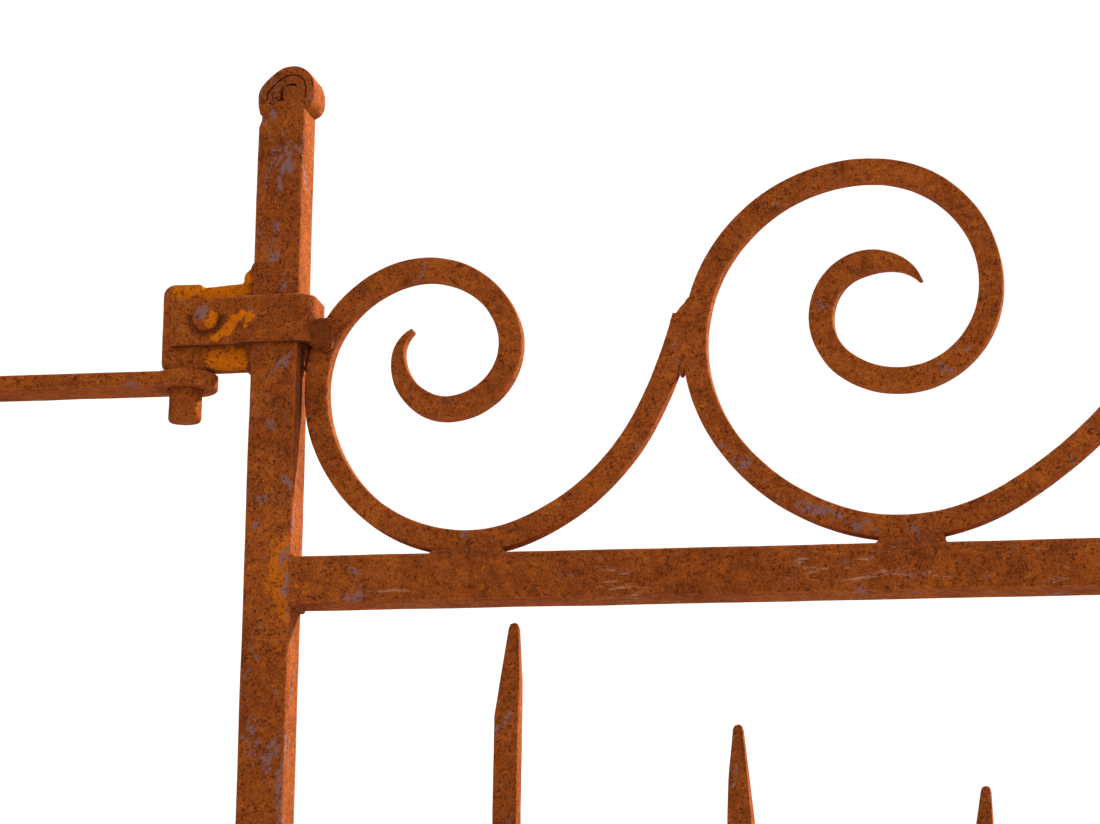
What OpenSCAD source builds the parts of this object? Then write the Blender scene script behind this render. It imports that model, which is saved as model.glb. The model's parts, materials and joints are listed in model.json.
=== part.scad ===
// Double-leaf wrought iron driveway gate hung on two square posts.
// Frame: X along the gate, -Y to the street, +Z up, ground at z = 0,
// origin at the middle of the left post's foot. Millimetres.
// The left leaf is drawn in place; the right leaf is its mirror image.

/* [Leaf] */
// Distance between the centre lines of a leaf's two stiles
leaf_w = 1568; // [1540:4:1600]
// Number of bays that the pickets divide a leaf into
bays = 8; // [6:2:10]
// Height of the top rail's upper face above the ground
rail_top = 1900; // [1700:10:2000]
// Height of the middle rail's upper face above the ground
mid_top = 1500; // [1300:10:1600]
// Height of the bottom rail's upper face above the ground
low_top = 160; // [120:10:220]
// Space under the stiles
ground_gap = 60; // [40:5:80]
// Space between the two meeting stiles
meeting_gap = 10; // [10:1:20]

/* [Bars] */
// Side of the square stile bar
stile = 40; // [38:1:42]
// Side of the square rail bar
rail = 40; // [36:1:42]
// Side of the square picket bar
picket = 20; // [16:1:24]
// Width of the scroll bar, seen from the street
scroll_w = 20; // [16:1:22]
// Thickness of the scroll bar, front to back
scroll_d = 16; // [12:1:20]
// Diameter of the rolled head on each stile
head_d = 49; // [46:1:52]
// Height of the rolled head above the top rail
head_rise = 427; // [410:1:440]

/* [Picket tips] */
// Depth of the tip line below the top rail at the leaf's middle
tip_sag = 213; // [150:1:250]
// Rise of the tip line from the leaf's middle to its stiles
tip_rise = 286; // [200:1:290]
// Length of a picket's forged taper
tip_len = 78; // [50:1:90]

/* [Hinges] */
// Height of the upper hinge strap's middle above the top rail
top_hinge_rise = 203; // [195:1:215]
// Height of the lower hinge strap's middle above the ground
low_hinge_z = 265; // [260:5:320]
// Distance from the stile's centre line to the pin's axis
pin_reach = 81; // [76:1:86]
// Diameter of the hinge pin
pin_d = 28; // [24:1:30]
// Radial clearance of the pin in its eye
pin_clear = 0.5; // [0.2:0.1:1]
// Height of the strap's flat bar
strap_h = 41; // [36:1:44]
// Thickness of the strap's flat bar
strap_t = 8; // [6:1:10]

/* [Posts] */
// Side of the square post bar
post = 80; // [70:5:100]
// Height of the post
post_h = 2300; // [2250:10:2400]
// Free length of the eye's arm, from the post's face to the pin's axis
arm_l = 200; // [150:5:220]

/* [Hidden] */
$fn = 64;

rust = [0.55, 0.27, 0.13];
dark_rust = [0.42, 0.22, 0.13];
bright_rust = [0.70, 0.33, 0.12];

// Places along X
pin_x = post / 2 + arm_l;
hinge_x = pin_x + pin_reach;
meeting_x = hinge_x + leaf_w;
middle_x = (hinge_x + meeting_x) / 2;
mirror_x = meeting_x + stile / 2 + meeting_gap / 2;

// Heights
top_hinge_z = rail_top + top_hinge_rise;
head_z = rail_top + head_rise - head_d / 2;

// Rolled head: the bar is drawn out to a strip and rolled up, a little towards the leaf
head_over = 3.5;
head_strip = 6;
head_slot = 2.5;
groove_from = 60;
groove_sweep = 280;
groove_drift = 3;
groove_step = 20;

// Forged pin piece, measured from the strap's middle height
boss_w = 34;
boss_d = 28;
boss_out = 19;
boss_below = 40;
boss_above = 35;
boss_round = 10;
tang_d = 20;
pin_l = 42;
bolt_in = 22;
bolt_up = 3;

// Strap: straight beside the stile, then pinched to the pin piece
strap_over = 9;
strap_stand = 6;
pinch_from = 24;
pinch_to = 40;
strap_bend = 14;

// Cup-head bolt with a hexagon nut
bolt_d = 12;
bolt_hole_d = 13;
bolt_cup_d = 25;
bolt_cup_h = 8;
nut_d = 21.9;
nut_h = 10;
bolt_past_nut = 5;

// Eye on the post, of flat bar
eye_gap = 1;
eye_h = 14;
eye_wall = 13;
arm_w = 44;
post_point = 30;

picket_hole = 0.3;
tip_r = 4;
short_taper = 0.6;
tip_lean = 3.5;
picket_gap = (leaf_w - stile - (bays - 1) * picket) / bays;

// Outer edges of the scrolls, in the plane of the leaf: X from the hinge stile's
// centre line, Z from the top rail's upper face. Each starts at its tip with a
// heading and runs anticlockwise through arcs of [radius, sweep].
small_tip = [115, 195];
small_heading = -153;
small_arcs = [[31, 54], [49, 103], [64, 110], [85, 83], [110, 73], [147, 62], [137, 50],
    [206, 42], [427, 14]];
large_tip = [544, 223];
large_heading = 111;
large_arcs = [[38, 38], [50, 80], [59, 93], [85, 120], [110, 94], [152, 132], [203, 28],
    [180, 54], [356, 45]];
arc_step = 7.5;
small_taper = 95;
large_taper = 70;
tip_w = 3;
small_foot = [137, 197];
large_foot = [508, 562];
foot_h = 9;
tail_cut = [337, 190];
tail_cut_slope = 39;

// End of an arc of radius r and sweep a that starts at p with heading h
function arc_end(p, h, r, a) = p + r * [sin(h + a) - sin(h), cos(h) - cos(h + a)];

// Start point, heading and run length of every arc, and of the line's end
function arc_starts(p, h, arcs, run = 0, i = 0) =
    i == len(arcs) ? [[p, h, run]] :
    concat([[p, h, run]], arc_starts(arc_end(p, h, arcs[i][0], arcs[i][1]), h + arcs[i][1], arcs,
        run + arcs[i][0] * arcs[i][1] * PI / 180, i + 1));

// Points of an edge as [point, heading, run length]
function edge_line(p, h, arcs) =
    let (starts = arc_starts(p, h, arcs))
    concat([for (i = [0 : len(arcs) - 1])
        let (n = ceil(arcs[i][1] / arc_step))
        for (k = [0 : n - 1])
            let (a = arcs[i][1] * k / n)
            [arc_end(starts[i][0], starts[i][1], arcs[i][0], a), starts[i][1] + a,
             starts[i][2] + arcs[i][0] * a * PI / 180]],
        [starts[len(arcs)]]);

// Width of the bar at a run length from its drawn-out tip
function bar_w(run, taper) = tip_w + (scroll_w - tip_w) * sin(90 * min(1, run / taper));

// Point of the inner edge that faces a point of the outer edge
function inner_point(e, taper) = e[0] + bar_w(e[2], taper) * [-sin(e[1]), cos(e[1])];

// The bar between its outer edge and its inner edge, with weld metal on the rail
module scroll_outline(p, h, arcs, taper, foot) {
    line = edge_line(p, h, arcs);
    polygon(concat([for (e = line) e[0]],
        [for (i = [len(line) - 1 : -1 : 0]) inner_point(line[i], taper)]));
    translate([foot[0], 0]) square([foot[1] - foot[0], foot_h]);
}

module large_outline() {
    difference() {
        scroll_outline(large_tip, large_heading, large_arcs, large_taper, large_foot);
        translate([leaf_w / 2, 0]) square([leaf_w, rail_top]);
    }
}

// The small scroll's tail is cut to lie on the large scroll, its side to clear the strap
module small_outline() {
    difference() {
        scroll_outline(small_tip, small_heading, small_arcs, small_taper, small_foot);
        large_outline();
        translate(tail_cut) rotate(tail_cut_slope) square(stile * 3);
        translate([0, top_hinge_rise - strap_h / 2]) square([stile / 2 + strap_stand + strap_t, strap_h]);
    }
}

// Turns an outline drawn in X and Z, from the stile and the rail, into a solid
module stand_up(depth) {
    translate([hinge_x, depth / 2, rail_top]) rotate([90, 0, 0]) linear_extrude(depth) children();
}

// Mirrors a piece of the left leaf's hinge half into its meeting half
module to_meeting_side() {
    translate([2 * middle_x, 0, 0]) mirror([1, 0, 0]) children();
}

// Mirrors a piece of the left half of the gate into the right half
module to_right() {
    translate([2 * mirror_x, 0, 0]) mirror([1, 0, 0]) children();
}

// A square post with a four-sided point
module gate_post() {
    color(dark_rust) intersection() {
        post_outline();
        rotate([0, 0, 90]) post_outline();
    }
}

module post_outline() {
    rotate([90, 0, 0]) linear_extrude(post, center = true)
        polygon([[-post / 2, 0], [post / 2, 0], [post / 2, post_h - post_point], [0, post_h],
                 [-post / 2, post_h - post_point]]);
}

// A ring round the pin on a flat arm from the post
module eye(strap_z) {
    eye_top = strap_z - boss_below - eye_gap;
    eye_d = pin_d + 2 * pin_clear;
    color(dark_rust) difference() {
        union() {
            translate([pin_x, 0, eye_top - eye_h]) cylinder(d = eye_d + 2 * eye_wall, h = eye_h);
            translate([post / 2, -arm_w / 2, eye_top - eye_h]) cube([arm_l, arm_w, eye_h]);
        }
        translate([pin_x, 0, eye_top - eye_h - 1]) cylinder(d = eye_d, h = eye_h + 2);
    }
}

// Square bar with its end drawn out and rolled into a head
module stile_bar() {
    color(rust) difference() {
        union() {
            translate([hinge_x - stile / 2, -stile / 2, ground_gap])
                cube([stile, stile, head_z - ground_gap]);
            translate([hinge_x + head_over, stile / 2, head_z]) rotate([90, 0, 0])
                cylinder(d = head_d, h = stile);
        }
        translate([hinge_x + head_over, stile / 2 + 1, head_z]) rotate([90, 0, 0])
            linear_extrude(stile + 2) head_groove();
    }
}

// Point of a spiral that starts at radius r and closes in by groove_drift over its sweep
function groove_point(r, a) =
    (r - groove_drift * a / groove_sweep) * [cos(groove_from + a), sin(groove_from + a)];

// The gap between the strip's outer turn and its inner turn, as a spiral band
module head_groove() {
    r_in = head_d / 2 - head_strip - head_slot;
    polygon(concat(
        [for (a = [0 : groove_step : groove_sweep]) groove_point(r_in + head_slot, a)],
        [for (a = [groove_sweep : -groove_step : 0]) groove_point(r_in, a)]));
}

// Square rail between the stiles, with its upper face at height z
module rail_bar(z) {
    color(rust) translate([hinge_x + stile / 2, -rail / 2, z - rail]) cube([leaf_w - stile, rail, rail]);
}

// Middle rail with the square holes that the pickets pass through
module middle_rail() {
    side = picket + 2 * picket_hole;
    color(rust) difference() {
        translate([hinge_x + stile / 2, -rail / 2, mid_top - rail]) cube([leaf_w - stile, rail, rail]);
        for (i = [1 : bays - 1])
            translate([hinge_x + picket_x(i) - side / 2, -side / 2, mid_top - rail - 1])
                cube([side, side, rail + 2]);
    }
}

// Distance from the hinge stile's centre line to a picket's centre line
function picket_x(i) = stile / 2 + i * (picket_gap + picket) - picket / 2;

// Height of the picket tips, on a parabola that dips to the leaf's middle
function tip_z(x) = rail_top - tip_sag + tip_rise * pow((x - leaf_w / 2) / (leaf_w / 2), 2);

// A bar from the bottom rail that tapers to a round nose set off from its middle. The
// taper on the side that the nose leans to is the shorter one.
module picket_outline(top, lean) {
    r = picket / 2;
    polygon([[-r, low_top], [r, low_top], [r, top - tip_len * short_taper], [lean + tip_r, top - tip_r],
             [lean - tip_r, top - tip_r], [-r, top - tip_len]]);
    translate([lean, top - tip_r]) circle(tip_r);
}

// One picket; side is 1 where its point leans to the right and -1 to the left
module picket_bar(x, side) {
    translate([hinge_x + x, 0, 0]) intersection() {
        rotate([90, 0, 0]) linear_extrude(picket, center = true)
            mirror([side < 0 ? 1 : 0, 0]) picket_outline(tip_z(x), tip_lean);
        rotate([90, 0, 90]) linear_extrude(picket, center = true) picket_outline(tip_z(x), 0);
    }
}

module pickets() {
    color(rust) for (i = [1 : bays - 1]) picket_bar(picket_x(i), i % 2 == 1 ? 1 : -1);
}

module hinge_small_scroll() {
    color(rust) stand_up(scroll_d) small_outline();
}

module hinge_large_scroll() {
    color(rust) stand_up(scroll_d) large_outline();
}

// Flat bar bent round the stile and pinched on the pin piece
module hinge_strap(z) {
    side = stile / 2 + strap_t;
    end = stile / 2 + strap_stand + strap_t;
    near = boss_d / 2;
    far = pin_reach + strap_over;
    bend = [end - strap_bend, side - strap_bend];
    inner_bend = strap_bend - strap_t;
    color(rust) translate([hinge_x, 0, z - strap_h / 2]) difference() {
        linear_extrude(strap_h) polygon(concat(
            [[-far, -near - strap_t], [-pinch_to, -near - strap_t], [-pinch_from, -side]],
            [for (a = [-90 : 15 : 0]) [bend[0], -bend[1]] + strap_bend * [cos(a), sin(a)]],
            [for (a = [0 : 15 : 90]) bend + strap_bend * [cos(a), sin(a)]],
            [[-pinch_from, side], [-pinch_to, near + strap_t], [-far, near + strap_t]],
            [[-far, near], [-pinch_to, near], [-pinch_from, stile / 2]],
            [for (a = [90 : -15 : 0]) bend + inner_bend * [cos(a), sin(a)]],
            [for (a = [0 : -15 : -90]) [bend[0], -bend[1]] + inner_bend * [cos(a), sin(a)]],
            [[-pinch_from, -stile / 2], [-pinch_to, -near], [-far, -near]]));
        translate([-pin_reach + bolt_in, side, strap_h / 2 + bolt_up]) rotate([90, 0, 0])
            cylinder(d = bolt_hole_d, h = 2 * side);
    }
}

// Boss, tang and downward pin, forged as one piece and welded to the stile
module hinge_pin(z) {
    color(bright_rust) translate([hinge_x, 0, z]) difference() {
        union() {
            translate([-pin_reach, boss_d / 2, 0]) rotate([90, 0, 0]) linear_extrude(boss_d) {
                translate([-boss_out, -boss_below]) square([boss_w, boss_below + boss_above - boss_round]);
                translate([-boss_out + boss_round, -boss_below])
                    square([boss_w - boss_round, boss_below + boss_above]);
                translate([-boss_out + boss_round, boss_above - boss_round]) circle(boss_round);
            }
            translate([-pin_reach, -tang_d / 2, -boss_below])
                cube([pin_reach - stile / 2, tang_d, boss_below + boss_above]);
            translate([-pin_reach, 0, -boss_below - pin_l]) cylinder(d = pin_d, h = pin_l + 1);
        }
        translate([-pin_reach + bolt_in, boss_d, bolt_up]) rotate([90, 0, 0])
            cylinder(d = bolt_hole_d, h = 2 * boss_d);
    }
}

// Cup-head bolt through the strap and the pin piece, nut at the back
module hinge_bolt(z) {
    face = boss_d / 2 + strap_t;
    cup_r = (pow(bolt_cup_d / 2, 2) + pow(bolt_cup_h, 2)) / (2 * bolt_cup_h);
    color(dark_rust) translate([hinge_x - pin_reach + bolt_in, 0, z + bolt_up]) {
        translate([0, -face, 0]) rotate([90, 0, 0]) intersection() {
            cylinder(d = bolt_cup_d, h = bolt_cup_h);
            translate([0, 0, bolt_cup_h - cup_r]) sphere(cup_r);
        }
        translate([0, face + nut_h + bolt_past_nut, 0]) rotate([90, 0, 0])
            cylinder(d = bolt_d, h = 2 * face + nut_h + bolt_past_nut);
        translate([0, face + nut_h, 0]) rotate([90, 0, 0]) cylinder(d = nut_d, h = nut_h, $fn = 6);
    }
}

gate_post();  // left_post
to_right() gate_post();  // right_post
eye(top_hinge_z);  // left_top_eye
eye(low_hinge_z);  // left_bottom_eye
to_right() eye(top_hinge_z);  // right_top_eye
to_right() eye(low_hinge_z);  // right_bottom_eye

stile_bar();  // left_hinge_stile
to_meeting_side() stile_bar();  // left_meeting_stile
rail_bar(rail_top);  // left_top_rail
middle_rail();  // left_middle_rail
rail_bar(low_top);  // left_bottom_rail
pickets();  // left_pickets
hinge_small_scroll();  // left_hinge_small_scroll
hinge_large_scroll();  // left_hinge_large_scroll
to_meeting_side() hinge_large_scroll();  // left_meeting_large_scroll
to_meeting_side() hinge_small_scroll();  // left_meeting_small_scroll
hinge_strap(top_hinge_z);  // left_top_hinge_strap
hinge_strap(low_hinge_z);  // left_bottom_hinge_strap
hinge_pin(top_hinge_z);  // left_top_hinge_pin
hinge_pin(low_hinge_z);  // left_bottom_hinge_pin
hinge_bolt(top_hinge_z);  // left_top_hinge_bolt
hinge_bolt(low_hinge_z);  // left_bottom_hinge_bolt

to_right() stile_bar();  // right_hinge_stile
to_right() to_meeting_side() stile_bar();  // right_meeting_stile
to_right() rail_bar(rail_top);  // right_top_rail
to_right() middle_rail();  // right_middle_rail
to_right() rail_bar(low_top);  // right_bottom_rail
to_right() pickets();  // right_pickets
to_right() hinge_small_scroll();  // right_hinge_small_scroll
to_right() hinge_large_scroll();  // right_hinge_large_scroll
to_right() to_meeting_side() hinge_large_scroll();  // right_meeting_large_scroll
to_right() to_meeting_side() hinge_small_scroll();  // right_meeting_small_scroll
to_right() hinge_strap(top_hinge_z);  // right_top_hinge_strap
to_right() hinge_strap(low_hinge_z);  // right_bottom_hinge_strap
to_right() hinge_pin(top_hinge_z);  // right_top_hinge_pin
to_right() hinge_pin(low_hinge_z);  // right_bottom_hinge_pin
to_right() hinge_bolt(top_hinge_z);  // right_top_hinge_bolt
to_right() hinge_bolt(low_hinge_z);  // right_bottom_hinge_bolt
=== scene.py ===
import json
import math
import bmesh
import bpy
from mathutils import Matrix, Vector, noise


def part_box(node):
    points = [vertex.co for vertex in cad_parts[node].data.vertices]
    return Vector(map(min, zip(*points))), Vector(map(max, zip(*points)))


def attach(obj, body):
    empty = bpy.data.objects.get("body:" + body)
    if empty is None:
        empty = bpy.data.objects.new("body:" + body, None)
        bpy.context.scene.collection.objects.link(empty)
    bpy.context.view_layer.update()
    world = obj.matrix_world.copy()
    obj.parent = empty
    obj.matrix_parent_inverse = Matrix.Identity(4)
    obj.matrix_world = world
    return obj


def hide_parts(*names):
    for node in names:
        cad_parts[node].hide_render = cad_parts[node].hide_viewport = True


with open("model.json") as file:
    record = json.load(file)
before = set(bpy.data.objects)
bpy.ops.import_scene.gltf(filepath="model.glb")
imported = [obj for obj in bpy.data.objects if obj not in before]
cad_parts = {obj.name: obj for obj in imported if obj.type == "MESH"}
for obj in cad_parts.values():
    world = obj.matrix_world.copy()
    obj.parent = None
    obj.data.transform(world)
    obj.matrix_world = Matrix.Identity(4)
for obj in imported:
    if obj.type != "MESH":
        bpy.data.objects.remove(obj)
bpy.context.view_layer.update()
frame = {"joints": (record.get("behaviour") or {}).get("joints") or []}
noise.seed_set(3)  # hammer marks and weld lumps fall in the same places every time

# Pieces are drawn in millimetres and brought to metres when they are finished
metre = 1000.0
railLow, railHigh = [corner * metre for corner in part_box("left_top_rail")]
bottomTop = (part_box("left_bottom_rail")[1] * metre).z
postLow, postHigh = [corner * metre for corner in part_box("left_post")]
stileLow, stileHigh = [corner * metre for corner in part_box("left_hinge_stile")]
eyeLow, eyeHigh = [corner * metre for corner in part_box("left_top_eye")]
scrollLow, scrollHigh = [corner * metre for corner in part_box("left_hinge_large_scroll")]

stileSide = railHigh.y - railLow.y
hingeX = railLow.x - stileSide / 2
leafWidth = railHigh.x - railLow.x + stileSide
middleX = hingeX + leafWidth / 2
mirrorX = (postLow.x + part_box("right_post")[1].x * metre) / 2
railTop = railHigh.z
pinX = frame["joints"][0]["pos_m"][0] * metre


class Wire:
    # a shader socket that takes part in arithmetic; node() adds any other node
    def __init__(self, tree, socket=None):
        self.tree, self.socket = tree, socket

    def node(self, kind, settings=None, inputs=None, output=0):
        new = self.tree.nodes.new(kind)
        for name, value in (settings or {}).items():
            if name == "stops":
                ramp = new.color_ramp
                while len(ramp.elements) < len(value):
                    ramp.elements.new(1.0)
                for stop, (position, colour) in zip(ramp.elements, value):
                    stop.position, stop.color = position, (*colour, 1.0)
            else:
                setattr(new, name, value)
        for name, value in (inputs or {}).items():
            if isinstance(value, Wire):
                self.tree.links.new(value.socket, new.inputs[name])
            else:
                new.inputs[name].default_value = value
        return Wire(self.tree, new.outputs[output])

    def math(self, operation, *values):
        return self.node("ShaderNodeMath", {"operation": operation}, dict(enumerate(values)))

    def __add__(self, other):
        return self.math("ADD", self, other)

    def __sub__(self, other):
        return self.math("SUBTRACT", self, other)

    def __rsub__(self, other):
        return self.math("SUBTRACT", other, self)

    def __mul__(self, other):
        return self.math("MULTIPLY", self, other)

    __radd__ = __add__
    __rmul__ = __mul__

    def noise(self, scale, detail, roughness, stretch=(1, 1, 1), shift=0.0, distortion=0.0):
        place = self.node("ShaderNodeMapping", None,
                          {"Vector": self, "Location": (shift, shift * 0.7, shift * 1.3), "Scale": stretch})
        return self.node("ShaderNodeTexNoise", {"noise_dimensions": "3D"},
                         {"Vector": place, "Scale": scale, "Detail": detail, "Roughness": roughness,
                          "Distortion": distortion})

    def between(self, low, high):
        # 0 below low, 1 above high, smooth in between
        return self.node("ShaderNodeMapRange", {"interpolation_type": "SMOOTHSTEP"},
                         {"Value": self, "From Min": low, "From Max": high})

    def colours(self, *stops):
        return self.node("ShaderNodeValToRGB", {"stops": stops}, {"Fac": self})

    def mix(self, first, second):
        inputs = {0: self}
        for socket, colour in ((6, first), (7, second)):
            inputs[socket] = colour if isinstance(colour, Wire) else (*colour, 1.0)
        return self.node("ShaderNodeMix", {"data_type": "RGBA"}, inputs, output=2)


rustTones = {
    "deep": (0.066, 0.015, 0.0045),
    "dark": (0.125, 0.027, 0.006),
    "brown": (0.195, 0.042, 0.008),
    "rust": (0.270, 0.061, 0.010),
    "orange": (0.400, 0.100, 0.012),
    "bloom": (0.560, 0.132, 0.002),
    "edge": (0.360, 0.095, 0.030),
    "scale": (0.185, 0.100, 0.098),
    "pale": (0.380, 0.190, 0.125),
}


def ironMaterial(name, look):
    material = bpy.data.materials.new(name)
    material.use_nodes = True
    tree = material.node_tree
    tree.nodes.clear()
    place = Wire(tree).node("ShaderNodeTexCoord", output="Object")
    wear, damp, polish, grime = [
        Wire(tree).node("ShaderNodeAttribute", {"attribute_name": mark}, output="Fac")
        for mark in ("wear", "damp", "polish", "grime")]
    tone = rustTones

    cloud = place.noise(7, 3, 0.5, shift=3.1)
    blotch = place.noise(34, 5, 0.62, shift=7.7)
    mottle = place.noise(150, 5, 0.68, shift=1.9)
    speck = place.noise(620, 3, 0.75, shift=5.3)
    level = cloud * 0.12 + blotch * 0.22 + mottle * 0.26 + speck * 0.40 + look["tone"]
    colour = level.colours((0.37, tone["deep"]), (0.43, tone["dark"]), (0.485, tone["brown"]),
                           (0.54, tone["rust"]), (0.62, tone["orange"]))

    # bright orange bloom where water stands
    bloom = (place.noise(24, 4, 0.62, shift=21.0) * 0.6 + mottle * 0.4 + damp * 0.23).between(
        look["bloom"], look["bloom"] + 0.05)
    bloom = bloom * (0.4 + speck + damp * 0.22).between(0.78, 0.98)
    colour = (bloom * (mottle * 1.5 + 0.10) * look["bright"]).mix(colour, tone["bloom"])

    # smooth lilac-grey skin left from the forge, raised further by the marked spots; on the bolt's crown
    # those spots are a painted highlight
    skin = (place.noise(32, 5, 0.7, look["skinGrain"], 33.0, 0.6) + polish * 0.17).between(
        look["skin"], look["skin"] + 0.035)
    skin = skin * mottle.between(0.42, 0.50)
    colour = (skin * 0.8).mix(colour, tone["scale"])

    # pale rubbed streaks
    streak = place.noise(90, 5, 0.75, look["streakGrain"], 41.0, 0.3).between(0.56, 0.68)
    streak = streak * place.noise(11, 2, 0.5, shift=47.0).between(0.50, 0.60) * look["streak"]
    colour = streak.mix(colour, tone["pale"])

    # dark pits and orange dust between them
    pit = place.noise(330, 4, 0.75, shift=11.0)
    dark = pit.between(0.57, 0.65)
    colour = (dark * 0.75).mix(colour, tone["deep"])
    # painted shade along the strap's underside and painted shadow round the lower rim of the bolt's cup;
    # elsewhere the same mark darkens a spot on the strap and the front of the scroll's weld apron
    colour = (grime * (0.35 + mottle)).mix(colour, tone["deep"])
    dust = place.noise(760, 2, 0.6, shift=17.0).between(0.58, 0.68)
    colour = (dust * 0.5).mix(colour, tone["orange"])

    # edges rubbed a little brighter
    rubbed = (wear * (0.3 + mottle)).between(0.55, 0.95)
    colour = (rubbed * look["edge"]).mix(colour, tone["edge"])

    roughness = 0.88 - skin * 0.28 - rubbed * 0.10 + dark * 0.08
    height = mottle * 0.9 + speck * 0.5 - dark * 0.8 + blotch * 0.8 - skin * 0.25 + dust * 0.25
    bump = height.node("ShaderNodeBump", None,
                       {"Height": height, "Strength": look["bump"], "Distance": 0.0010})
    shader = place.node("ShaderNodeBsdfPrincipled", None,
                        {"Base Color": colour, "Roughness": roughness, "Normal": bump,
                         "Specular IOR Level": 0.02})
    output = tree.nodes.new("ShaderNodeOutputMaterial")
    tree.links.new(shader.socket, output.inputs["Surface"])
    return material


# bloom and skin say how high the noise must stand before they show; streak and edge are strengths
looks = {
    "stile": {"tone": 0.008, "bloom": 0.60, "bright": 0.6, "skin": 0.575, "skinGrain": (1.5, 1, 0.7),
              "streak": 0.3, "streakGrain": (2, 2, 0.4), "edge": 0.5, "bump": 0.85},
    "rail": {"tone": 0.0, "bloom": 0.61, "bright": 0.6, "skin": 0.64, "skinGrain": (0.6, 1, 1.4),
             "streak": 0.9, "streakGrain": (0.35, 1, 1.8), "edge": 0.5, "bump": 0.85},
    "picket": {"tone": -0.004, "bloom": 0.63, "bright": 0.6, "skin": 0.63, "skinGrain": (1.5, 1, 0.6),
               "streak": 0.2, "streakGrain": (2, 2, 0.4), "edge": 0.5, "bump": 0.85},
    "scroll": {"tone": 0.020, "bloom": 0.62, "bright": 0.6, "skin": 0.625, "skinGrain": (1, 1, 1),
               "streak": 0.2, "streakGrain": (1, 1, 1), "edge": 0.45, "bump": 0.85},
    "hinge": {"tone": 0.010, "bloom": 0.59, "bright": 1.0, "skin": 0.625, "skinGrain": (1, 1, 1),
              "streak": 0.25, "streakGrain": (1, 1, 1), "edge": 0.6, "bump": 0.85},
    "bolt": {"tone": 0.012, "bloom": 0.62, "bright": 0.9, "skin": 0.60, "skinGrain": (1, 1, 1),
             "streak": 0.2, "streakGrain": (1, 1, 1), "edge": 0.5, "bump": 0.7},
    "post": {"tone": -0.01, "bloom": 0.61, "bright": 0.6, "skin": 0.58, "skinGrain": (1.2, 1.2, 0.5),
             "streak": 0.4, "streakGrain": (3, 3, 0.25), "edge": 0.5, "bump": 0.85},
}
materials = {finish: ironMaterial(finish + "_rust", look) for finish, look in looks.items()}
print("materials made")


def section(width, depth, edge, aside=0.0, cuts=3):
    # ring of edges round the origin: width along X, depth along Y, with rounded corners
    bm = bmesh.new()
    face = bmesh.ops.create_grid(bm, x_segments=1, y_segments=1, size=0.5)["verts"]
    bmesh.ops.scale(bm, vec=(width, depth, 1), verts=face)
    bmesh.ops.bevel(bm, geom=face, offset=edge, segments=3, profile=0.5, affect="VERTICES", material=-1)
    sides = [side for side in bm.edges if side.calc_length() > edge * 1.2]  # leaves the corners' cuts
    bmesh.ops.subdivide_edges(bm, edges=sides, cuts=cuts)
    bmesh.ops.delete(bm, geom=bm.faces[:], context="FACES_ONLY")
    bmesh.ops.translate(bm, vec=(aside, 0, 0), verts=bm.verts)
    return bm


def ringPlace(point, angle):
    across = Vector((-math.sin(angle), 0, math.cos(angle)))
    along = Vector((math.cos(angle), 0, math.sin(angle)))
    turned = Matrix((across, (0, 1, 0), -along)).transposed().to_4x4()
    return Matrix.Translation(point) @ turned


def growBar(bm, start, heading, moves, step):
    # draws the section in X and Z along straight lengths (None, length) and arcs (radius, degrees)
    point, angle, run = Vector((start[0], 0, start[1])), math.radians(heading), 0.0
    bmesh.ops.transform(bm, matrix=ringPlace(point, angle), verts=bm.verts)
    ring = bm.verts[:] + bm.edges[:]
    rings = [{"verts": bm.verts[:], "place": ringPlace(point, angle), "run": run}]
    for radius, amount in moves:
        sweep = math.radians(amount) if radius else 0.0
        length = radius * abs(sweep) if radius else amount
        count = max(1, math.ceil(length / step))
        bend = sweep / count
        for each in range(count):
            across = Vector((-math.sin(angle), 0, math.cos(angle)))
            along = Vector((math.cos(angle), 0, math.sin(angle)))
            centre = point + across * math.copysign(radius, sweep) if radius else point
            advance = Vector() if radius else along * (length / count)
            grown = bmesh.ops.spin(bm, geom=ring, cent=centre, axis=(0, -1, 0), dvec=advance,
                                   angle=bend, steps=1, use_merge=False, use_duplicate=False)
            ring = grown["geom_last"]
            if radius:
                point = centre + Matrix.Rotation(-bend, 3, "Y") @ (point - centre)
            else:
                point = point + advance
            angle += bend
            run += length / count
            verts = [item for item in ring if isinstance(item, bmesh.types.BMVert)]
            rings.append({"verts": verts, "place": ringPlace(point, angle), "run": run})
    for end in rings:
        end["left"] = run - end["run"]
    return rings


def reshape(bm, ring, wide=1.0, deep=1.0, shift=0.0):
    # squeezes a ring about its path point and slides it across
    bmesh.ops.scale(bm, vec=(wide, deep, 1), space=ring["place"].inverted(), verts=ring["verts"])
    across = ring["place"].to_3x3() @ Vector((shift, 0, 0))
    bmesh.ops.translate(bm, vec=across, verts=ring["verts"])


def closeEnds(bm, crown=0.6, rim=1.5):
    # fills the open ends and crowns them a little
    openEdges = [edge for edge in bm.edges if edge.is_boundary]
    made = bmesh.ops.holes_fill(bm, edges=openEdges, sides=0)["faces"]
    bmesh.ops.recalc_face_normals(bm, faces=bm.faces[:])
    bmesh.ops.inset_individual(bm, faces=made, thickness=rim, depth=crown, use_even_offset=True)


def turn(bm, degrees, axis):
    bmesh.ops.rotate(bm, matrix=Matrix.Rotation(math.radians(degrees), 3, axis), verts=bm.verts)


def slide(bm, x=0.0, y=0.0, z=0.0):
    bmesh.ops.translate(bm, vec=(x, y, z), verts=bm.verts)


def hammer(bm, amount, size):
    # the slight unevenness of hand forging
    for vert in bm.verts:
        vert.co += noise.noise_vector(vert.co / size) * amount


def roundOff(bm, edges, offset, segments=2):
    bmesh.ops.bevel(bm, geom=edges, offset=offset, segments=segments, profile=0.5, affect="EDGES",
                    material=-1)


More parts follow.
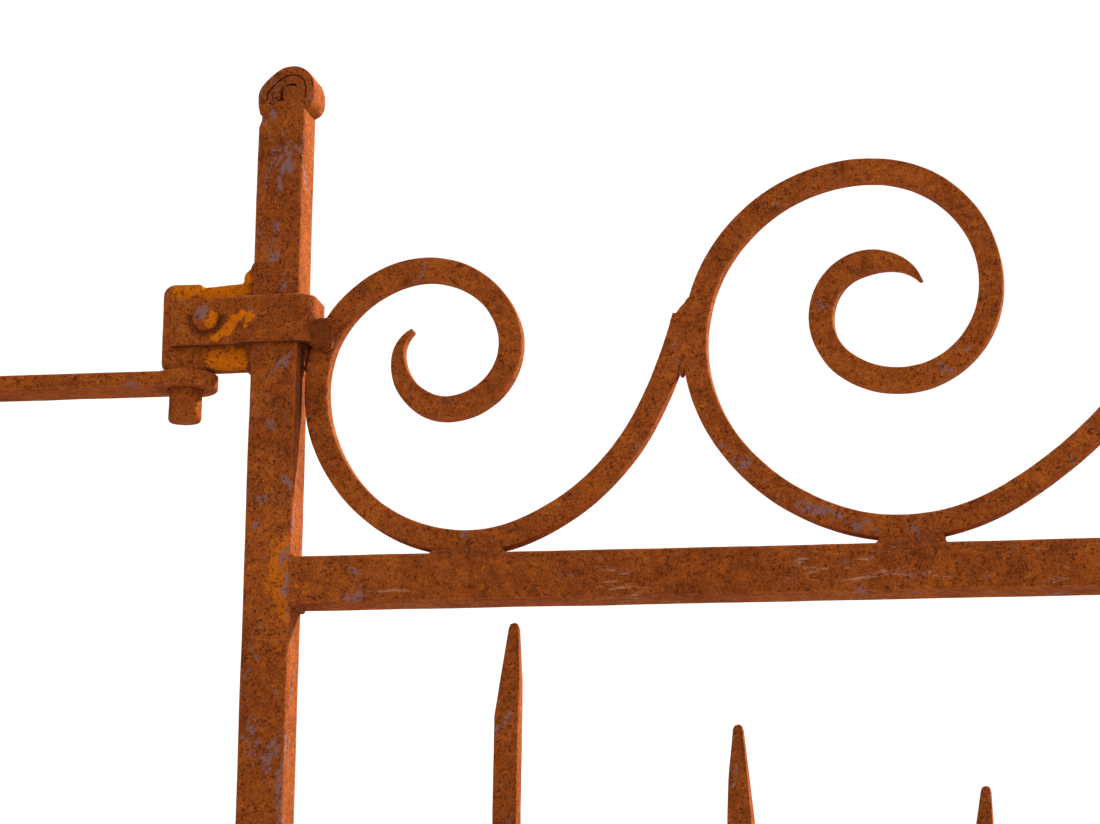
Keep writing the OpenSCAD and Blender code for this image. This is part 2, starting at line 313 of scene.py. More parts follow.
def block(bm, low, high, edge=0):
    # a square-edged lump between two corners, its edges rounded if edge is given
    low, high = Vector(low), Vector(high)
    made = bmesh.ops.create_cube(bm, size=1)["verts"]
    bmesh.ops.scale(bm, vec=high - low, verts=made)
    bmesh.ops.translate(bm, vec=(low + high) / 2, verts=made)
    if edge:
        roundOff(bm, list(dict.fromkeys(item for vert in made for item in vert.link_edges)), edge)


weld = {"lumpiness": 0.18, "grain": 3.0, "pitch": 0.9, "uneven": 0.25, "wander": 0.3, "wave": 7.0,
        "softness": 0.5, "softSteps": 6}


def blob(bm, centre, size, seed=0):
    # a lump of weld metal
    made = bmesh.ops.create_icosphere(bm, subdivisions=3, radius=1)["verts"]
    bmesh.ops.scale(bm, vec=size, verts=made)
    for vert in made:
        vert.co *= 1 + weld["lumpiness"] * noise.noise(vert.co / weld["grain"] + Vector((seed,) * 3))
    bmesh.ops.translate(bm, vec=centre, verts=made)


def weldLine(bm, start, end, radius, seed=0):
    # overlapping lumps, as a stick weld leaves
    start, end = Vector(start), Vector(end)
    count = max(2, round((end - start).length / (radius * weld["pitch"])))
    for i in range(count + 1):
        centre = start.lerp(end, i / count)
        wobble = noise.noise_vector(centre / weld["wave"] + Vector((seed, 0, 0)))
        size = radius * (1 + weld["uneven"] * wobble.x)
        blob(bm, centre + wobble * radius * weld["wander"], (size, size, size), seed + i)


def joined(parts):
    # one bmesh from several
    whole = bmesh.new()
    for part in parts:
        mesh = bpy.data.meshes.new("part")
        part.to_mesh(mesh)
        part.free()
        whole.from_mesh(mesh)
        bpy.data.meshes.remove(mesh)
    return whole


def fused(bm, voxel):
    # melts overlapping parts into one skin, as a forge weld does
    mesh = bpy.data.meshes.new("fused")
    bmesh.ops.recalc_face_normals(bm, faces=bm.faces[:])
    bm.to_mesh(mesh)
    bm.free()
    lump = bpy.data.objects.new("fused", mesh)
    bpy.context.scene.collection.objects.link(lump)
    remesh = lump.modifiers.new("melt", "REMESH")
    remesh.mode, remesh.voxel_size = "VOXEL", voxel
    soften = lump.modifiers.new("soften", "SMOOTH")
    soften.factor, soften.iterations = weld["softness"], weld["softSteps"]
    melted = bpy.data.meshes.new_from_object(lump.evaluated_get(bpy.context.evaluated_depsgraph_get()))
    whole = bmesh.new()
    whole.from_mesh(melted)
    bpy.data.objects.remove(lump)
    bpy.data.meshes.remove(melted)
    return whole


spotGain = 1.6  # above 1, a spot keeps its full value some way out from its middle


def markSpots(bm, mark, spots):
    # paints a value that fades from 1 in the middle of each spot (x, y, z, radius) to 0 at its rim
    layer = bm.verts.layers.float.new(mark)
    for vert in bm.verts:
        near = [1 - (vert.co - Vector(spot[:3])).length / spot[3] for spot in spots]
        vert[layer] = min(1.0, spotGain * max([0.0, *near]))


drawings = {}


def drawn(shape, draw, *sizes):
    # each shape is drawn once, and its pieces start from copies
    if shape not in drawings:
        whole = draw(*sizes)
        drawings[shape] = bpy.data.meshes.new("drawing")
        whole.to_mesh(drawings[shape])
        whole.free()
    bm = bmesh.new()
    bm.from_mesh(drawings[shape])
    return bm


fullWear = 0.45  # an outward bend of this many radians counts as a whole edge


def markWear(bm):
    # 1 on outward edges and corners, 0 on flats
    wear = bm.verts.layers.float.new("wear")
    for vert in bm.verts:
        bends = [edge.calc_face_angle_signed(0.0) for edge in vert.link_edges if edge.is_manifold]
        vert[wear] = min(1.0, max(0.0, max(bends, default=0.0) / fullWear))


fineForge = (0.35, 0.2)  # the smaller hammer marks, as shares of the larger ones' amount and size


def finishPiece(bm, name, finish, body, place, mirrors, forge, sharp=42):
    # puts a drawn piece in its place in X and Z, roughens it and makes it an object
    slide(bm, x=place[0], z=place[1])
    for plane in mirrors:
        bmesh.ops.scale(bm, vec=(-1, 1, 1), verts=bm.verts)
        slide(bm, x=2 * plane)
    hammer(bm, *forge)
    hammer(bm, forge[0] * fineForge[0], forge[1] * fineForge[1])
    for vert in bm.verts:
        vert.co.z = max(0.0, vert.co.z)
    bmesh.ops.scale(bm, vec=(1 / metre,) * 3, verts=bm.verts)
    bmesh.ops.remove_doubles(bm, verts=bm.verts, dist=0.00001)
    bmesh.ops.recalc_face_normals(bm, faces=bm.faces[:])
    markWear(bm)
    mesh = bpy.data.meshes.new(name)
    bm.to_mesh(mesh)
    bm.free()
    piece = bpy.data.objects.new(name, mesh)
    bpy.context.scene.collection.objects.link(piece)
    mesh.materials.append(materials[finish])
    mesh.shade_smooth()
    mesh.set_sharp_from_angle(angle=math.radians(sharp))
    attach(piece, body)
    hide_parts(name)


stileBar = {
    "edge": 2.4, "step": 9.0, "trim": 0.8, "headTrim": 0.6, "footScale": 0.95,
    "neckFrom": 54.5, "neckTo": 34.5, "neckIn": 2.4, "neckDepth": 0.985,
    "strip": 7.3, "stripEdge": 1.4, "stripForge": (0.45, 12), "thinEnd": 30.0, "thinTo": 0.6,
    "rollStart": (-19.3, -42.4), "rollHeading": 101.0, "rollStep": 2.2,
    # outer edge of the rolled end, from the bar's left face over the top and inwards
    "roll": [(None, 4), (60, -11), (14, -38), (85, -11), (23.5, -43), (19.5, -40), (19, -28), (24, -20),
             (None, 5), (12, -62), (13, -28), (None, 19), (9.5, -90), (None, 2.2), (6, -38), (77, -11),
             (15, -43), (11.5, -40), (10.5, -28), (15, -20), (None, 5.5), (6, -90), (None, 9), (5, -90),
             (None, 4), (5, -60), (8, -30), (None, 2), (5, -90), (6, -60), (4, -90), (4, -60)],
    # what closes the gap under the roll: two corners, the edge and how far back from the face
    "fills": [((-18, -43), (-9, -30), 2.0, 0.0), ((-9, -30), (-2, -22), 0.8, 1.2)],
    # orange rust round the rail's joint: x, height over the rail's top, and radius
    "damp": [(15, 10, 13), (14, -12, 17), (16, -34, 13), (17, -50, 8)],
}


def drawStile():
    look = stileBar
    top, low = stileHigh.z - look["headTrim"], stileLow.z
    neck = look["neckFrom"] - look["neckTo"]
    bar = section(stileSide, stileSide, look["edge"], cuts=5)
    rings = growBar(bar, (0, low), 90, [(None, top - look["neckFrom"] - low), (None, neck)], look["step"])
    reshape(bar, rings[0], look["footScale"], look["footScale"])
    for ring in rings:
        if ring["left"] < neck - 1:
            reshape(bar, ring, 1 - look["neckIn"] / stileSide, look["neckDepth"], -look["neckIn"] / 2)
    closeEnds(bar)
    markSpots(bar, "damp", [(x, -stileSide / 2, railTop + up, size) for x, up, size in look["damp"]])
    roll = section(look["strip"], stileSide - look["trim"], look["stripEdge"], aside=-look["strip"] / 2,
                   cuts=4)
    start = (look["rollStart"][0], top + look["rollStart"][1])
    rings = growBar(roll, start, look["rollHeading"], look["roll"], look["rollStep"])
    for ring in rings:
        if ring["left"] < look["thinEnd"]:
            reshape(roll, ring, look["thinTo"] + (1 - look["thinTo"]) * ring["left"] / look["thinEnd"])
    closeEnds(roll, 0.3, 0.6)
    hammer(roll, *look["stripForge"])
    fill = bmesh.new()
    half = stileSide / 2 - look["trim"]
    for (left, under), (right, over), edge, back in look["fills"]:
        block(fill, (left, back - half, top + under), (right, half - back, top + over), edge)
    return joined([bar, roll, fill])


railBar = {"edge": 2.6, "step": 9.0, "sink": 3.0, "trim": 1.0, "bead": 3.6, "beadSink": 1.0,
           "thinBead": 1.7, "thinSink": 0.6, "beadShort": 3.0, "voxel": 1.2}


def drawRail():
    look = railBar
    half, sink, short = stileSide / 2, look["beadSink"], look["beadShort"]
    bar = section(stileSide, stileSide - look["trim"], look["edge"], cuts=5)
    length = leafWidth - stileSide + 2 * look["sink"]
    growBar(bar, (half - look["sink"], -half), 0, [(None, length)], look["step"])
    closeEnds(bar)
    welds = bmesh.new()
    for end, x in ((half, half + sink), (leafWidth - half, leafWidth - half - sink)):
        for z in (-sink, sink - stileSide):
            weldLine(welds, (x, short - half, z), (x, half - short, z), look["bead"], end)
        for y in (look["thinSink"] - half, half - look["thinSink"]):
            weldLine(welds, (end, y, short - stileSide), (end, y, -short), look["thinBead"], y)
    return joined([bar, fused(welds, look["voxel"])])


picketBar = {"side": 20.0, "edge": 1.6, "bays": 8, "sag": 213.0, "rise": 286.0, "taper": 78.0,
             "shortTaper": 46.8, "nose": 4.0, "noseRings": (3.4, 1.2), "tip": 5.0, "lean": 3.5,
             "step": 11.0, "foot": 3.0, "bead": 2.8, "voxel": 1.4}


def drawPickets():
    look = picketBar
    side, count, nose = look["side"], look["bays"], look["nose"]
    gap = (leafWidth - stileSide - (count - 1) * side) / count
    foot = bottomTop - look["foot"]
    nearTip = [(None, look["taper"] - look["tip"])] + [(None, length) for length in look["noseRings"]]
    bars = []
    for i in range(1, count):
        x = stileSide / 2 + i * (gap + side) - side / 2
        offset = (x - leafWidth / 2) / (leafWidth / 2)
        top = railTop - look["sag"] + look["rise"] * offset ** 2
        lean = 1 if i % 2 else -1
        bar = section(side, side, look["edge"], cuts=2)
        rings = growBar(bar, (x, foot), 90, [(None, top - look["taper"] - foot)] + nearTip, look["step"])
        for ring in rings:
            down = max(0, ring["left"] - nose)
            slow = 1 - min(1, down / (look["taper"] - nose))
            quick = 1 - min(1, down / (look["shortTaper"] - nose))
            leftEdge = -side / 2 + slow * (side / 2 + look["lean"] - nose)
            rightEdge = side / 2 - quick * (side / 2 - look["lean"] - nose)
            depth = side / 2 + slow * (nose - side / 2)
            end = math.sqrt(max(0.02, 1 - max(0, 1 - ring["left"] / nose) ** 2))
            reshape(bar, ring, (rightEdge - leftEdge) / side * end, depth * 2 / side * end,
                    -(leftEdge + rightEdge) / 2 * lean)
        closeEnds(bar, 0.3, 0.8)
        bead = bmesh.new()
        near, far = -side / 2, side / 2
        for out in (near, far):
            weldLine(bead, (x + out, near, bottomTop), (x + out, far, bottomTop), look["bead"], i)
            weldLine(bead, (x + near, out, bottomTop), (x + far, out, bottomTop), look["bead"], i)
        bars += [bar, fused(bead, look["voxel"])]
    return joined(bars)


# outer edges run anticlockwise from the tip in arcs of (radius, degrees)
smallScroll = {
    "tip": (115, 195), "heading": -153, "taper": 95, "foot": (137, 197),
    "arcs": [(31, 54), (49, 103), (64, 110), (85, 83), (110, 73), (147, 62), (137, 50), (206, 42), (427, 12)],
    "welds": [((338, -6, 193), (352, -6, 211), 3.6), ((338, 6, 193), (352, 6, 211), 3.6),
              ((42, -10, 183), (39, -12, 199), 6.0), ((46, -8, 186), (43, -9, 202), 4.0),
              ((35, -15, 184), (33, -18, 193), 6.0), ((37, 12, 184), (35, 15, 192), 5.4),
              ((25, 4, 166), (27, 6, 176), 5.0),
              ((344.5, -6, 150), (347.5, -6, 160), 2.8), ((344.5, 6, 150), (347.5, 6, 160), 2.8)],
    "polish": [],
}
largeScroll = {
    "tip": (544, 223), "heading": 111, "taper": 70, "foot": (508, 562),
    "arcs": [(38, 38), (50, 80), (59, 93), (85, 120), (110, 94), (152, 132), (203, 28), (180, 54), (356, 45)],
    "welds": [((783, -7, 250), (783, -7, 268), 2.8), ((783, 7, 250), (783, 7, 268), 2.8)],
    "polish": [(398, -9, 70, 12), (405, -9, 62, 8), (434, -9, 43, 8), (447, -9, 35, 9), (461, -9, 29, 9),
               (475, -9, 22, 12), (490, -9, 15, 13), (505, -9, 11, 8)],
}
# the foot is the weld under the scroll, and its apron runs forward to the rail's front face
scrollBar = {"width": 20.0, "tipWidth": 3.0, "tipDepth": 0.72, "edge": 2.0, "step": 5.0, "voxel": 1.2,
             "footLow": -2.0, "footHigh": 11.0, "footTrim": 0.4, "footEdge": 1.0,
             "apronLow": -2.6, "apronHigh": 1.2, "apronBack": 0.5, "apronIn": 4.0, "apronEdge": 1.2,
             # the last two: how dark the apron's front part is made, and from how far forward it starts, in
             # the foot's half-depths
             "bead": 3.2, "beadUp": 0.5, "beadIn": 1.0, "grime": 0.7, "apronDarkFrom": 1.6}


def drawScroll(look):
    stock = scrollBar
    width, depth = stock["width"], scrollHigh.y - scrollLow.y
    bar = section(width, depth, stock["edge"], aside=width / 2, cuts=3)
    rings = growBar(bar, look["tip"], look["heading"], look["arcs"], stock["step"])
    for ring in rings:
        full = math.sin(math.radians(90 * min(1, ring["run"] / look["taper"])))
        wide = (stock["tipWidth"] + (width - stock["tipWidth"]) * full) / width
        reshape(bar, ring, wide, stock["tipDepth"] + (1 - stock["tipDepth"]) * full)
    # the large scroll stops at the middle of the leaf, where it meets its twin
    bmesh.ops.bisect_plane(bar, geom=bar.verts[:] + bar.edges[:] + bar.faces[:],
                           plane_co=(leafWidth / 2, 0, 0), plane_no=(1, 0, 0), clear_outer=True)
    closeEnds(bar, 0.4, 1.0)
    # spots of lilac-grey skin on the scroll's front face
    markSpots(bar, "polish", look["polish"])
    low, high = look["foot"]
    foot = bmesh.new()
    front, railFront = depth / 2 - stock["footTrim"], stileSide / 2 - stock["apronBack"]
    block(foot, (low, -front, stock["footLow"]), (high, front, stock["footHigh"]), stock["footEdge"])
    block(foot, (low + stock["apronIn"], -railFront, stock["apronLow"]),
          (high - stock["apronIn"], front, stock["apronHigh"]), stock["apronEdge"])
    for y in (stock["beadIn"] - front, front - stock["beadIn"]):
        weldLine(foot, (low, y, stock["beadUp"]), (high, y, stock["beadUp"]), stock["bead"], low)
    for start, end, radius in look["welds"]:
        weldLine(foot, start, end, radius, start[0])
    foot = fused(foot, stock["voxel"])
    # the apron's front part, in front of the scroll, is darkened
    grime = foot.verts.layers.float.new("grime")
    for vert in foot.verts:
        if vert.co.y < -front * stock["apronDarkFrom"]:
            vert[grime] = stock["grime"]
    return joined([bar, foot])


hinge = {"strapHeight": 41.0, "strapThick": 8.0, "strapEdge": 2.2, "strapStand": 6.0, "strapOver": 9.0,
         "pinchFrom": 24.0, "pinchTo": 40.0, "pinchAngle": 25.0, "bend": 14.0, "step": 3.5,
         # painted shade along the strap's underside: how far above its bottom edge it reaches, and how dark
         "undersideFrom": 1.5, "undersideShade": 0.6,
         "bossWidth": 34.0, "bossDepth": 28.0, "bossOut": 19.0, "bossBelow": 40.0, "bossAbove": 35.0,
         "bossRound": 10.0, "bossChamfer": 5.0, "bossEdge": 2.0,
         "tangDepth": 20.0, "tangDip": 3.0, "tangRise": 1.5, "tangEdge": 2.5, "tangIn": 4.0,
         "bead": 4.0, "beadOver": 4.0,
         "pinSize": 28.0, "pinLength": 42.0, "pinEdge": 1.6, "pinInBoss": 10.0,
         "boltIn": 22.0, "boltUp": 3.0, "voxel": 1.3,
         # weld lumps on the stile's face: x, height over the boss's top or its foot, size and seed
         "lumps": [(-3, 3, (8, 7, 9), 0), (-1, 11, (4, 6, 8), 3)], "footLump": (-2, 1, (5, 7, 5), 7),
         "lumpsAt": (-8, 0, 8),
         # where water stands: x, y, z and radius
         "strapDamp": [(-35, -24, -2, 8), (-28, -25, 4, 7), (-20, -27, 1, 5), (-41, -23, -9, 8),
                       (-50, -22, -13, 8), (-23, -26, -7, 5), (-40, 24, 4, 16)],
         # lilac-grey skin spots and one darker spot on the strap: x, y, z and radius; then the painted shadow
         # under the bolt's cup: distance out, radius, first angle and step
         "strapSkinSpots": [(-30, -25, 8, 6), (-20, -27, 8, 6), (-83, -22, -4, 7)],
         "strapDarkSpot": [(-29, -24, -5, 5)], "rimShadow": (14.0, 4.5, 180, 18),
         "pinDamp": [(-52, -10, -30, 18), (-42, -10, -29, 18), (-34, -10, -30, 14), (-84, -14, 30, 17),
                     (-74, -14, 34, 14), (-60, -10, 32, 16), (-45, -10, 32, 20), (-34, -10, 34, 16),
                     (-50, 10, 30, 24)]}
pinReach = hingeX - pinX


def joggle(along, aside, angle):
    # two equal arcs and the straight between them that shift a bar sideways
    s, c = math.sin(math.radians(angle)), math.cos(math.radians(angle))
    radius = (along * s - aside * c) / (2 * (1 - c))
    return radius, (along - 2 * radius * s) / c


def lowerRim(x, y, z, out, size, first, step):
    # spots along the lower half of the bolt's cup head, where the painted shadow under the cup goes
    angles = [math.radians(angle) for angle in range(first, 541 - first, step)]
    return [(x + out * math.cos(angle), y, z + out * math.sin(angle), size) for angle in angles]


def drawStrap():
    look = hinge
    near = look["bossDepth"] / 2 + look["strapThick"]
    far = stileSide / 2 + look["strapThick"]
    end = stileSide / 2 + look["strapStand"] + look["strapThick"]
    angle, bend = look["pinchAngle"], look["bend"]
    radius, straight = joggle(look["pinchTo"] - look["pinchFrom"], far - near, angle)
    leg = pinReach + look["strapOver"] - look["pinchTo"]
    flank = look["pinchFrom"] + end - bend
    front = [(None, leg), (radius, -angle), (None, straight), (radius, angle), (None, flank), (bend, 90)]
    bar = section(look["strapThick"], look["strapHeight"], look["strapEdge"], aside=look["strapThick"] / 2,
                  cuts=12)
    growBar(bar, (-pinReach - look["strapOver"], -near), 0,
            front + [(None, 2 * (far - bend))] + front[::-1], look["step"])
    closeEnds(bar, 0.3, 1.2)
    turn(bar, -90, "X")
    markSpots(bar, "damp", look["strapDamp"])
    markSpots(bar, "polish", look["strapSkinSpots"])
    # a darker spot on the strap, and painted shadow on the strap in a ring under the bolt's cup
    markSpots(bar, "grime", look["strapDarkSpot"]
              + lowerRim(look["boltIn"] - pinReach, -near, look["boltUp"], *look["rimShadow"]))
    # painted shade along the strap's underside
    grime = bar.verts.layers.float["grime"]
    for vert in bar.verts:
        if vert.co.z < look["undersideFrom"] - look["strapHeight"] / 2:
            vert[grime] = max(vert[grime], look["undersideShade"])
    return bar


def drawPin():
    look = hinge
    axis, half = -pinReach, look["bossDepth"] / 2
    low, high = -look["bossBelow"], look["bossAbove"]
    boss = bmesh.new()
    left = axis - look["bossOut"]
    block(boss, (left, -half, low), (left + look["bossWidth"], half, high))
    for upper, offset, segments in ((True, look["bossRound"], 6), (False, look["bossChamfer"], 2)):
        corner = [edge for edge in boss.edges
                  if all(vert.co.x < axis and (vert.co.z > 0) == upper for vert in edge.verts)
                  and abs(edge.verts[0].co.y - edge.verts[1].co.y) > half]
        roundOff(boss, corner, offset, segments)
    roundOff(boss, boss.edges[:], look["bossEdge"])
    tang = bmesh.new()
    block(tang, (axis, -look["tangDepth"] / 2, low + 1),
          (look["tangIn"] - stileSide / 2, look["tangDepth"] / 2, high))
    for vert in tang.verts:
        if vert.co.z > 0:
            vert.co.z += look["tangRise"] if vert.co.x > axis + half else -look["tangDip"]
    roundOff(tang, tang.edges[:], look["tangEdge"])
    pin = bmesh.new()
    radius, length = look["pinSize"] / 2, look["pinLength"]
    bmesh.ops.create_cone(pin, segments=40, cap_ends=True, radius1=radius, radius2=radius,
                          depth=length + look["pinInBoss"])
    slide(pin, axis, 0, low - length / 2 + look["pinInBoss"] / 2)
    rims = [edge for edge in pin.edges if abs(edge.verts[0].co.z - edge.verts[1].co.z) < 0.1]
    roundOff(pin, rims, look["pinEdge"])
    lumps = bmesh.new()
    face = -stileSide / 2
    out, over, size, seed = look["footLump"]
    for y in look["lumpsAt"]:
        for aside, up, swell, grain in look["lumps"]:
            blob(lumps, (face + aside, y, high + up), swell, y + grain)
        blob(lumps, (face + out, y, low + over), size, y + seed)
    for y in (-look["tangDepth"] / 2, look["tangDepth"] / 2):
        weldLine(lumps, (face, y, low), (face, y, high + look["beadOver"]), look["bead"], y)
    whole = fused(joined([boss, tang, pin, lumps]), look["voxel"])
    markSpots(whole, "damp", look["pinDamp"])
    return whole


bolt = {"cupRadius": 12.4, "cupHeight": 8.2, "cupFlat": 7.3, "nutRadius": 10.95, "nutHeight": 10.0,
        "nutEdge": 0.9, "shankRadius": 6.0, "pastNut": 5.0, "threadPitch": 1.9, "threadDepth": 0.05,
        "threadCuts": 55, "cupForge": (1.0, 9), "cupSink": 0.5,
        # marks on the cup head: x, z and radius, the first a painted highlight on the crown and the second
        # orange rust; the rim's painted shadow is distance out, radius, first angle and step
        "polish": [(-2, 3, 10), (0, 6, 8)], "damp": [(5, -7, 8), (9, 0, 6)], "rimShadow": (12.5, 4, 170, 16)}


def drawBolt():
    look = bolt
    face = hinge["bossDepth"] / 2 + hinge["strapThick"]
    cup = bmesh.new()
    bmesh.ops.create_icosphere(cup, subdivisions=4, radius=1)
    bmesh.ops.bisect_plane(cup, geom=cup.verts[:] + cup.edges[:] + cup.faces[:], plane_co=(0, 0, 0),
                           plane_no=(0, 1, 0), clear_outer=True)
    bmesh.ops.scale(cup, vec=(look["cupRadius"], look["cupHeight"], look["cupRadius"]), verts=cup.verts)
    for vert in cup.verts:
        vert.co.y = max(vert.co.y, -look["cupFlat"])
    closeEnds(cup, 0, 0.5)
    hammer(cup, *look["cupForge"])
    slide(cup, y=look["cupSink"] - face)
    nut = bmesh.new()
    bmesh.ops.create_cone(nut, segments=6, cap_ends=True, radius1=look["nutRadius"],
                          radius2=look["nutRadius"], depth=look["nutHeight"])
    roundOff(nut, nut.edges[:], look["nutEdge"])
    turn(nut, 90, "X")
    slide(nut, y=face + look["nutHeight"] / 2)
    crown = -look["cupHeight"] - face
    # a painted highlight on the crown, and orange rust spots
    for mark in ("polish", "damp"):
        markSpots(cup, mark, [(x, crown, z, size) for x, z, size in look[mark]])
    # painted shadow along the cup's lower rim
    markSpots(cup, "grime", lowerRim(0, -face, 0, *look["rimShadow"]))
    shank = bmesh.new()
    length = 2 * face + look["nutHeight"] + look["pastNut"]
    bmesh.ops.create_cone(shank, segments=28, cap_ends=False, radius1=look["shankRadius"],
                          radius2=look["shankRadius"], depth=length)
    stripes = [edge for edge in shank.edges if abs(edge.verts[0].co.z - edge.verts[1].co.z) > 1]
    bmesh.ops.subdivide_edges(shank, edges=stripes, cuts=look["threadCuts"])
    for vert in shank.verts:
        around = math.atan2(vert.co.y, vert.co.x) - vert.co.z * 2 * math.pi / look["threadPitch"]
        vert.co.xy *= 1 - look["threadDepth"] * (0.5 + 0.5 * math.sin(around))
    closeEnds(shank, 0.6, 0.8)
    turn(shank, 90, "X")
    slide(shank, y=length / 2 - face)
    return joined([cup, nut, shank])


postBar = {"edge": 4.0, "step": 22.0, "point": 30.0, "trim": 1.2}


def drawPost():
    look = postBar
    width = postHigh.x - postLow.x - look["trim"]
    bar = section(width, width, look["edge"], cuts=6)
    rings = growBar(bar, (0, 0), 90, [(None, postHigh.z - look["point"]), (None, look["point"] - 1)],
                    look["step"])
    for ring in rings:
        left = min(1, (ring["left"] + 1) / look["point"])
        reshape(bar, ring, left, left)
    closeEnds(bar, 0, 0.3)
    return bar


eyeRing = {"wall": 13.0, "height": 14.0, "arm": 44.0, "edge": 2.2, "trim": 0.4, "armTrim": 1.0,
           "armIn": 11.5, "armStep": 8.0, "bead": 3.6, "voxel": 1.2,
           # lumps where the arm meets the ring: how far in, share of half the arm's width, and size
           "lumpIn": 5.0, "lumpOut": 0.86, "lump": (8, 3.5, 5.5)}


def drawEye():
    # its top is at z = 0 and the pin's axis at x = 0
    look = eyeRing
    outer, height = (eyeHigh.y - eyeLow.y) / 2, look["height"]
    ring = section(look["wall"] - look["trim"], height - look["trim"], look["edge"], cuts=3)
    turn(ring, 90, "X")
    slide(ring, x=outer - look["wall"] / 2)
    bmesh.ops.spin(ring, geom=ring.verts[:] + ring.edges[:], cent=(0, 0, 0), axis=(0, 0, 1),
                   dvec=(0, 0, 0), angle=2 * math.pi, steps=56, use_merge=True, use_duplicate=False)
    slide(ring, z=-height / 2)
    arm = section(height - look["armTrim"], look["arm"], look["edge"], cuts=4)
    start, half = postHigh.x - pinX, look["arm"] / 2
    growBar(arm, (start, -height / 2), 0, [(None, -outer + look["armIn"] - start)], look["armStep"])
    closeEnds(arm)
    welds = bmesh.new()
    for z in (-height, 0):
        weldLine(welds, (start, -half, z), (start, half, z), look["bead"], z)
    for y in (-half, half):
        weldLine(welds, (start, y, -height), (start, y, 0), look["bead"], y)
        blob(welds, (-outer + look["lumpIn"], y * look["lumpOut"], -height / 2), look["lump"], y)
    return joined([ring, arm, fused(welds, look["voxel"])])


# how far the hammer leaves each kind of piece uneven, and over what length
forge = {"bar": (0.45, 70), "picket": (0.6, 90), "scroll": (0.45, 50), "strap": (0.5, 28), "pin": (0.4, 22),
         "bolt": (0.15, 12), "post": (0.35, 120), "eye": (0.3, 40)}
for leaf, mirrors in (("left", ()), ("right", (mirrorX,))):
    body = leaf + "_leaf"
    for half, twins in (("hinge", mirrors), ("meeting", (middleX, *mirrors))):
        finishPiece(drawn("stile", drawStile), f"{leaf}_{half}_stile", "stile", body, (hingeX, 0), twins,
                    forge["bar"])
        finishPiece(drawn("small", drawScroll, smallScroll), f"{leaf}_{half}_small_scroll", "scroll",
                    body, (hingeX, railTop), twins, forge["scroll"])
        finishPiece(drawn("large", drawScroll, largeScroll), f"{leaf}_{half}_large_scroll", "scroll",
                    body, (hingeX, railTop), twins, forge["scroll"])
    print(leaf, "stiles and scrolls made")
    for height in ("top", "middle", "bottom"):
        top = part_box(f"{leaf}_{height}_rail")[1].z * metre
        finishPiece(drawn("rail", drawRail), f"{leaf}_{height}_rail", "rail", body, (hingeX, top), mirrors,
                    forge["bar"])
    finishPiece(drawn("pickets", drawPickets), leaf + "_pickets", "picket", body, (hingeX, 0), mirrors,
                forge["picket"])
    print(leaf, "rails and pickets made")
    for end in ("top", "bottom"):
        low, high = [corner.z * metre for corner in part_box(f"{leaf}_{end}_hinge_strap")]
        middle = (low + high) / 2
        finishPiece(drawn("strap", drawStrap), f"{leaf}_{end}_hinge_strap", "hinge", body,
                    (hingeX, middle), mirrors, forge["strap"])
        finishPiece(drawn("pin", drawPin), f"{leaf}_{end}_hinge_pin", "hinge", body, (hingeX, middle),
                    mirrors, forge["pin"], sharp=80)
        finishPiece(drawn("bolt", drawBolt), f"{leaf}_{end}_hinge_bolt", "bolt", body,
                    (pinX + hinge["boltIn"], middle + hinge["boltUp"]), mirrors, forge["bolt"])
        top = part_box(f"{leaf}_{end}_eye")[1].z * metre
        finishPiece(drawn("eye", drawEye), f"{leaf}_{end}_eye", "hinge", "posts", (pinX, top), mirrors,
                    forge["eye"])
    print(leaf, "hinges made")
    low, high = [corner.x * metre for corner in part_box(leaf + "_post")]
    finishPiece(drawn("post", drawPost), leaf + "_post", "post", "posts", ((low + high) / 2, 0), (),
                forge["post"])
for mesh in drawings.values():
    bpy.data.meshes.remove(mesh)
print("posts made")


studio = {
    "floorSize": 30.0, "sky": (1.0, 1.0, 1.0), "skyStrength": 1.14,
    "sunFrom": (0.57, 0.59, 0.57), "sunDistance": 9.0, "sunSize": 0.9, "sunPower": 2580.0,
    "sunColour": (1.0, 0.97, 0.88), "aimIn": 400.0, "aimHeight": 2000.0,
    "floorColour": (0.43, 0.425, 0.415), "floorRoughness": 0.9,
}
# the camera's place is measured from the hinge stile's axis, at the height of the rail's top
cameraView = {"place": (971.65, -3558.27, -730.21), "yaw": 11.72, "pitch": 13.18, "roll": 1.04,
              "lens": 147.27, "sensor": 36.0}

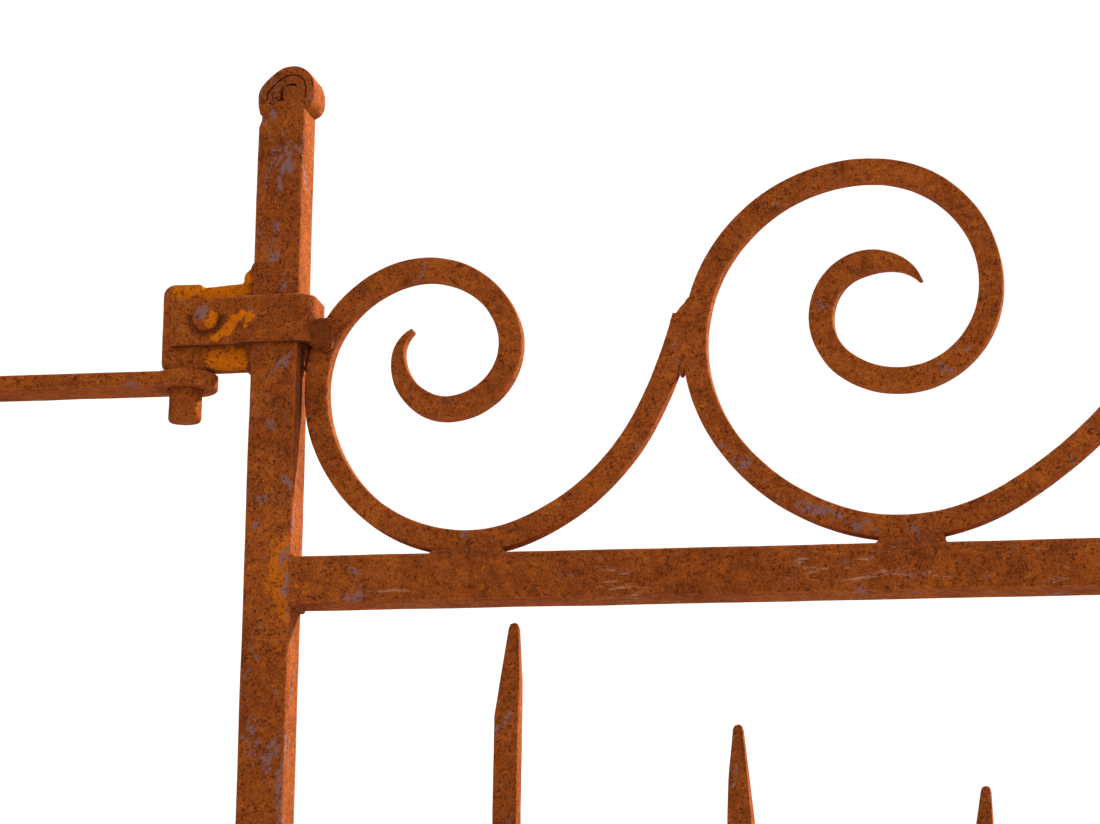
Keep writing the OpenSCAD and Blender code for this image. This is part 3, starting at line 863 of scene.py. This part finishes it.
floorMesh = bmesh.new()
bmesh.ops.create_grid(floorMesh, x_segments=1, y_segments=1, size=studio["floorSize"] / 2)
floorData = bpy.data.meshes.new("floor")
floorMesh.to_mesh(floorData)
floorMesh.free()
floor = bpy.data.objects.new("floor", floorData)
bpy.context.scene.collection.objects.link(floor)
floor.location.x = mirrorX / metre
floorPaint = bpy.data.materials.new("floor")
floorPaint.use_nodes = True
floorShader = floorPaint.node_tree.nodes["Principled BSDF"]
floorShader.inputs["Base Color"].default_value = (*studio["floorColour"], 1)
floorShader.inputs["Roughness"].default_value = studio["floorRoughness"]
floorData.materials.append(floorPaint)

world = bpy.data.worlds.new("studio")
bpy.context.scene.world = world
world.use_nodes = True
sky = world.node_tree.nodes["Background"]
sky.inputs["Color"].default_value = (*studio["sky"], 1)
sky.inputs["Strength"].default_value = studio["skyStrength"]

aim = Vector((hingeX + studio["aimIn"], 0, studio["aimHeight"])) / metre
sun = bpy.data.lights.new("key", "AREA")
sun.energy, sun.size, sun.color = studio["sunPower"], studio["sunSize"], studio["sunColour"]
key = bpy.data.objects.new("key", sun)
key.location = aim + Vector(studio["sunFrom"]).normalized() * studio["sunDistance"]
key.rotation_euler = (aim - key.location).to_track_quat("-Z", "Y").to_euler()
bpy.context.scene.collection.objects.link(key)

lens = bpy.data.cameras.new("camera")
lens.lens, lens.sensor_width, lens.sensor_fit = cameraView["lens"], cameraView["sensor"], "HORIZONTAL"
lens.clip_end = 100
camera = bpy.data.objects.new("camera", lens)
railJoint = Vector((hingeX, 0, railTop))
camera.matrix_world = (Matrix.Translation((railJoint + Vector(cameraView["place"])) / metre)
                       @ Matrix.Rotation(math.radians(cameraView["yaw"]), 4, "Z")
                       @ Matrix.Rotation(math.radians(90 + cameraView["pitch"]), 4, "X")
                       @ Matrix.Rotation(math.radians(cameraView["roll"]), 4, "Z"))
bpy.context.scene.collection.objects.link(camera)
bpy.context.scene.camera = camera
bpy.context.scene.view_settings.view_transform = "Standard"
print("camera set")
